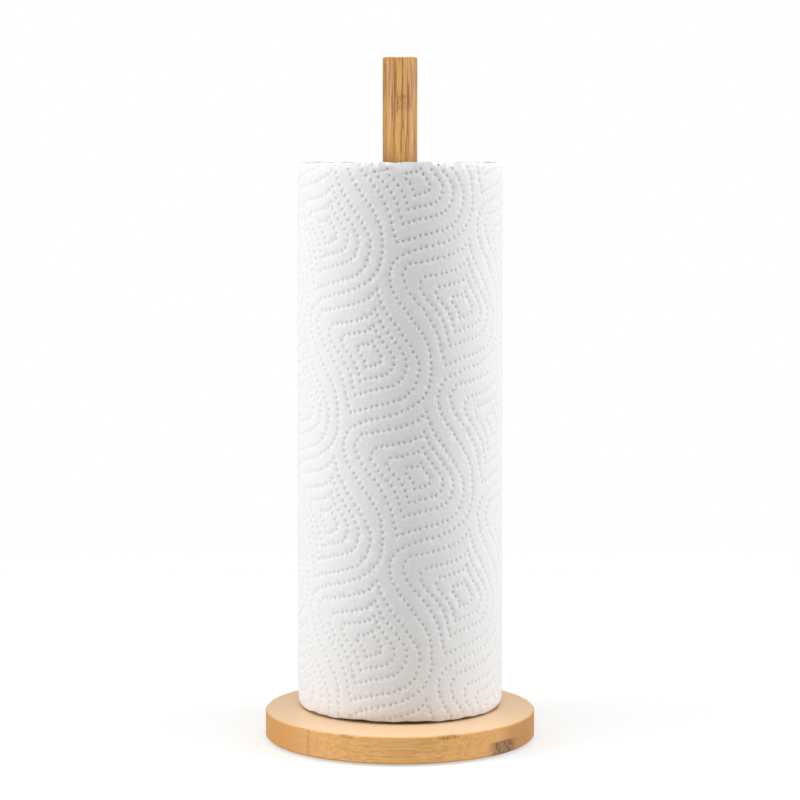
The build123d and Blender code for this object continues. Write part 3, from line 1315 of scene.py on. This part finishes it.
@dataclass
class WoundWeb:
    """The body of the roll under its two outer sheets: hundreds of turns whose edges show at both ends."""

    name: str
    shape: RollShape  # The roll's outside
    bore: float  # Radius of the hole that the core fills, in mm
    # Radius of the body between its ends, in mm, clear of the dots pressed into the outer sheets
    wall: float
    # Radius that the turns reach at the ends, where the sheets over them are only as thick as paper
    rim: float
    turn: float = 1.05  # Spacing of the modelled turns, three real ones each
    # Where across a turn its edge begins and ends, and where the gap after it is deepest
    turn_shape: Corner = (0.18, 0.72, 0.95)
    groove: float = 0.34  # Depth of the gap between two modelled turns
    # Heights above each end at which the wall has a ring of points
    wall_heights: tuple[float, ...] = (1.6, 3.5, 8.0, 16.0)
    bore_inset: float = 0.4  # How far above each end the bore begins
    steps: int = 160  # Sides of the roll
    wander: float = 0.3  # How far a turn's edge moves in or out of the roll's end, at most
    wander_side: float = 0.3  # How far it moves sideways, as a share of the turns' spacing
    wander_reach: float = 0.8  # How near an end a point has to lie to be moved
    wander_from: float = 0.1  # How far outside the bore the moved turns begin
    wander_to: float = 2.6  # How far inside the wall they end
    # How fast the wandering changes round the roll, and from turn to turn
    wander_scale: Point = (1.6, 0.37)
    sharp_degrees: float = 50.0  # The sharpest fold that is shaded smooth

    def profile(self) -> list[Point]:
        """Draws the body's section, from the bore's foot round to it again.

        Returns:
            Its points, as (radius, height above the foot).
        """
        top = self.shape.length
        rim = self.rim - self.shape.tuck(0.0)
        turns = int((rim - self.bore) / self.turn)
        pitch = (rim - self.bore) / turns
        begins, ends, gap = self.turn_shape
        end = []
        for i in range(turns):
            low = self.bore + i * pitch
            end += [(low + begins * pitch, 0.0), (low + ends * pitch, 0.0), (low + gap * pitch, self.groove)]
        wall = [(self.wall - self.shape.tuck(up), up) for up in self.wall_heights]
        outside = wall + [(r, top - up) for r, up in reversed(wall)]
        upper = [(r, top - up) for r, up in reversed(end)]
        return end + outside + upper + [(self.bore, top - self.bore_inset), (self.bore, self.bore_inset)]

    def build(self) -> bpy.types.Object:
        """Spins the section round the roll's axis and lets the turns wander as wound paper does.

        Returns:
            The finished piece.
        """
        centre = (self.shape.centre[0] * MM, self.shape.centre[1] * MM, self.shape.foot * MM)
        profile = self.profile()
        bpy.ops.object.select_all(action="DESELECT")
        bpy.ops.mesh.primitive_plane_add(size=MM, location=centre)
        piece = bpy.context.object
        piece.name = self.name
        piece.data.name = self.name
        bpy.ops.object.mode_set(mode="EDIT")
        bpy.ops.mesh.select_all(action="SELECT")
        bpy.ops.mesh.merge(type="CENTER")
        first = profile[0]
        bpy.ops.transform.translate(value=(first[0] * MM, 0, first[1] * MM))
        for (r0, z0), (r1, z1) in zip(profile, [*profile[1:], first]):
            step = ((r1 - r0) * MM, 0, (z1 - z0) * MM)
            bpy.ops.mesh.extrude_vertices_move(TRANSFORM_OT_translate={"value": step})
        bpy.ops.mesh.select_all(action="SELECT")
        bpy.ops.mesh.spin(steps=self.steps, angle=math.tau, center=centre, axis=(0, 0, 1))
        bpy.ops.mesh.select_all(action="SELECT")
        bpy.ops.mesh.remove_doubles(threshold=0.02 * MM)
        bpy.ops.mesh.normals_make_consistent(inside=False)
        bpy.ops.object.mode_set(mode="OBJECT")
        bpy.ops.object.transform_apply(location=True, rotation=True, scale=True)
        self.wander_turns(piece)
        shade_smooth(piece, self.sharp_degrees)
        log.info("%s: %d faces", self.name, len(piece.data.polygons))
        return piece

    def wander_turns(self, piece: bpy.types.Object) -> None:
        """Moves the turns' edges a little up, down and sideways, a different way for each turn.

        Args:
            piece: The spun body.
        """
        foot = self.shape.foot * MM
        top = (self.shape.foot + self.shape.length) * MM
        cx, cy = self.shape.centre[0] * MM, self.shape.centre[1] * MM
        inner, outer = (self.bore + self.wander_from) * MM, (self.wall - self.wander_to) * MM
        around, across = self.wander_scale
        for vertex in piece.data.vertices:
            x, y, z = vertex.co.x - cx, vertex.co.y - cy, vertex.co.z
            radius = math.hypot(x, y)
            if min(z - foot, top - z) > self.wander_reach * MM or not inner <= radius <= outer:
                continue
            at_foot = z - foot < top - z
            turn = radius / (self.turn * MM)
            height = across * turn + (FOOT_LAYER if at_foot else 0.0)
            spot = Vector((x / radius * around, y / radius * around, height))
            fall = self.wander * MM * (0.5 + noise.noise(spot))
            sideways = noise.noise(spot * SIDE_ZOOM + Vector((0, 0, SIDE_LAYER)))
            side = self.wander_side * self.turn * MM * sideways
            vertex.co.z += fall if at_foot else -fall
            vertex.co.x += side * x / radius
            vertex.co.y += side * y / radius


@dataclass
class TowelRoll:
    """The roll of paper towel: core, wound web, and the two outermost sheets."""

    sheet_length: float = 260.0  # From one line of perforations to the next, in mm
    layer: float = 0.9  # Room that one embossed layer takes
    loft: float = 0.4  # How much larger in radius the embossed roll is than its CAD solid
    foot_drop: float = 0.2  # How far its foot stands below the CAD solid's
    added_length: float = 0.3  # How much longer it is
    tail_lift: float = 0.9  # How far the free edge stands off
    hidden_stretch: float = 8.0  # How far the next sheet's embossing runs on under the outer sheet
    core_gap: float = 0.2  # Room between the core and the wound web
    wall_gap: float = 0.3  # Room between the wound web and the two layers over it
    rim_gap: float = 0.5  # The same at the ends, where one layer lies over it

    def build(self) -> None:
        """Models the roll's paper, dresses it and the core, and hangs each piece on its body."""
        low, high = (Vector(corner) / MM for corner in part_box("paper_winding"))
        outside = Vector(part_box("tail_sheet")[1]) / MM
        centre = ((low.x + high.x) / 2, (low.y + high.y) / 2)
        axis = (centre[0] * MM, centre[1] * MM)
        radius = outside.x - centre[0]
        length = high.z - low.z + self.added_length
        shape = RollShape(radius + self.loft, centre, low.z - self.foot_drop, length)
        half, around = self.sheet_length / 2, math.tau * radius
        gap = around - self.sheet_length
        pattern = EmbossPattern()

        tail = Sheet("outer_sheet", "tail_sheet", -half, self.sheet_length, shape, pattern)
        tail.lift = self.tail_lift
        tail.torn_start = True
        tail.crease = Crease()
        under = Sheet("next_sheet", "second_sheet", -half - around, around, shape, pattern)
        under.sink = self.layer
        under.sink_reach = gap
        under.embossed_from = -half - gap - self.hidden_stretch
        under.torn_end = True
        paper = TowelPaper().make()
        for sheet in (tail, under):
            piece = sheet.build()
            set_material(piece, paper)
            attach(piece, "roll_paper")
            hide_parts(sheet.node)

        bore = (Vector(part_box("core_outer_ply")[1]) / MM).x - centre[0] + self.core_gap
        wall = shape.radius - 2 * self.layer - self.wall_gap
        web = WoundWeb("wound_web", shape, bore, wall, rim=shape.radius - self.layer - self.rim_gap)
        body = web.build()
        set_material(body, CutTissue().make(axis))
        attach(body, "roll_paper")
        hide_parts("paper_winding")
        dress(("core_inner_ply", "core_outer_ply"), CoreBoard().make(axis))


# ---------------------------------------------------------------- the studio


@dataclass
class Studio:
    """A pale floor, soft light from both sides and above, and a long lens at the height of the roll's top."""

    distance: float = 1.315  # From the camera to the post's axis, in metres
    rise: float = 0.0003  # How far the camera stands above the roll's top, in metres
    lens: float = 115.1  # Its focal length in mm
    tilt_degrees: float = 5.311  # How far it looks down
    floor_radius: float = 3.0  # The floor's radius in metres
    floor_sides: int = 96  # Its number of sides
    # Distances at which the floor begins and ends to fade into the background, in metres
    floor_fade: Point = (0.2, 0.95)
    floor_share: float = 0.5  # How solid it is at its middle
    ambient: float = 0.36  # Strength of the room's own light
    white: str = "ffffff"  # Colour of the lamps and the room
    aim_height: float = 0.15  # Height that the lamps point at, in metres

    def build_floor(self) -> None:
        """Lays a pale floor that fades into the background with distance."""
        bpy.ops.object.select_all(action="DESELECT")
        bpy.ops.mesh.primitive_circle_add(
            vertices=self.floor_sides, radius=self.floor_radius, fill_type="NGON", location=(0, 0, 0)
        )
        floor = bpy.context.object
        floor.name = "floor"
        material, tree = new_material("pale_studio_floor")
        place = add_node(tree, "TexCoord")
        away = add_node(tree, "VectorMath", {"operation": "LENGTH"}, {0: place.outputs["Object"]})
        fade = add_node(tree, "MapRange", SMOOTH, rise(away, self.floor_fade, 1.0, 1 - self.floor_share))
        pale = add_node(tree, "BsdfDiffuse", inputs={"Color": linear("f2f2f0"), "Roughness": 0.6})
        clear = add_node(tree, "BsdfTransparent")
        mixed = add_node(tree, "MixShader", inputs={0: fade, 1: pale, 2: clear})
        add_node(tree, "OutputMaterial", inputs={"Surface": mixed})
        set_material(floor, material)

    def build_lights(self) -> None:
        """Hangs a softbox on each side and one overhead, in an even white room."""
        for name, place, size, power in (
            ("left_softbox", (-1.11, -0.3, 0.35), (0.7, 1.2), 12.0),
            ("right_softbox", (1.14, -0.1, 0.35), (0.7, 1.2), 11.5),
            ("top_softbox", (0.0, -0.15, 1.35), (1.0, 0.8), 11.5),
        ):
            lamp = bpy.data.lights.new(name, "AREA")
            lamp.shape = "RECTANGLE"
            lamp.size, lamp.size_y = size
            lamp.energy = power
            lamp.color = linear(self.white)[:3]
            light = bpy.data.objects.new(name, lamp)
            light.location = place
            aim = Vector((0, 0, self.aim_height)) - Vector(place)
            light.rotation_euler = aim.to_track_quat("-Z", "Y").to_euler()
            light.visible_camera = False
            bpy.context.scene.collection.objects.link(light)

    def build_world(self) -> None:
        """Makes the room: an even light of its own strength, behind a plain white backdrop."""
        world = bpy.data.worlds.new("white_room")
        world.use_nodes = True
        tree = world.node_tree
        tree.nodes.clear()
        seen = add_node(tree, "LightPath").outputs["Is Camera Ray"]
        white = linear(self.white)
        room = add_node(tree, "Background", inputs={"Color": white, "Strength": self.ambient})
        backdrop = add_node(tree, "Background", inputs={"Color": white, "Strength": 1.0})
        mixed = add_node(tree, "MixShader", inputs={0: seen, 1: room, 2: backdrop})
        add_node(tree, "OutputWorld", inputs={"Surface": mixed})
        bpy.context.scene.world = world

    def build_camera(self) -> None:
        """Stands the camera level with the roll's top, looking a little down."""
        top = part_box("paper_winding")[1][2]
        data = bpy.data.cameras.new("camera")
        data.lens = self.lens
        data.sensor_width = 36.0
        camera = bpy.data.objects.new("camera", data)
        camera.location = (0.0, -self.distance, top + self.rise)
        camera.rotation_euler = (math.radians(90 - self.tilt_degrees), 0.0, 0.0)
        bpy.context.scene.collection.objects.link(camera)
        bpy.context.scene.camera = camera

    def build(self) -> None:
        """Sets up the whole studio."""
        bpy.context.scene.view_settings.view_transform = "Standard"
        self.build_floor()
        self.build_lights()
        self.build_world()
        self.build_camera()
        log.info("studio ready")


def write_sizes() -> None:
    """Does nothing: no sizes are noted."""
    log.info("sizes written")


def main() -> None:
    """Builds the studio, the holder's finishes and the roll, in that order."""
    logging.basicConfig(level=logging.INFO, format="%(name)s: %(message)s")
    Studio().build()
    holder = Holder()
    holder.dress_base()
    holder.dress_post()
    holder.dress_fixing()
    TowelRoll().build()
    write_sizes()


if __name__ == "__main__":
    main()
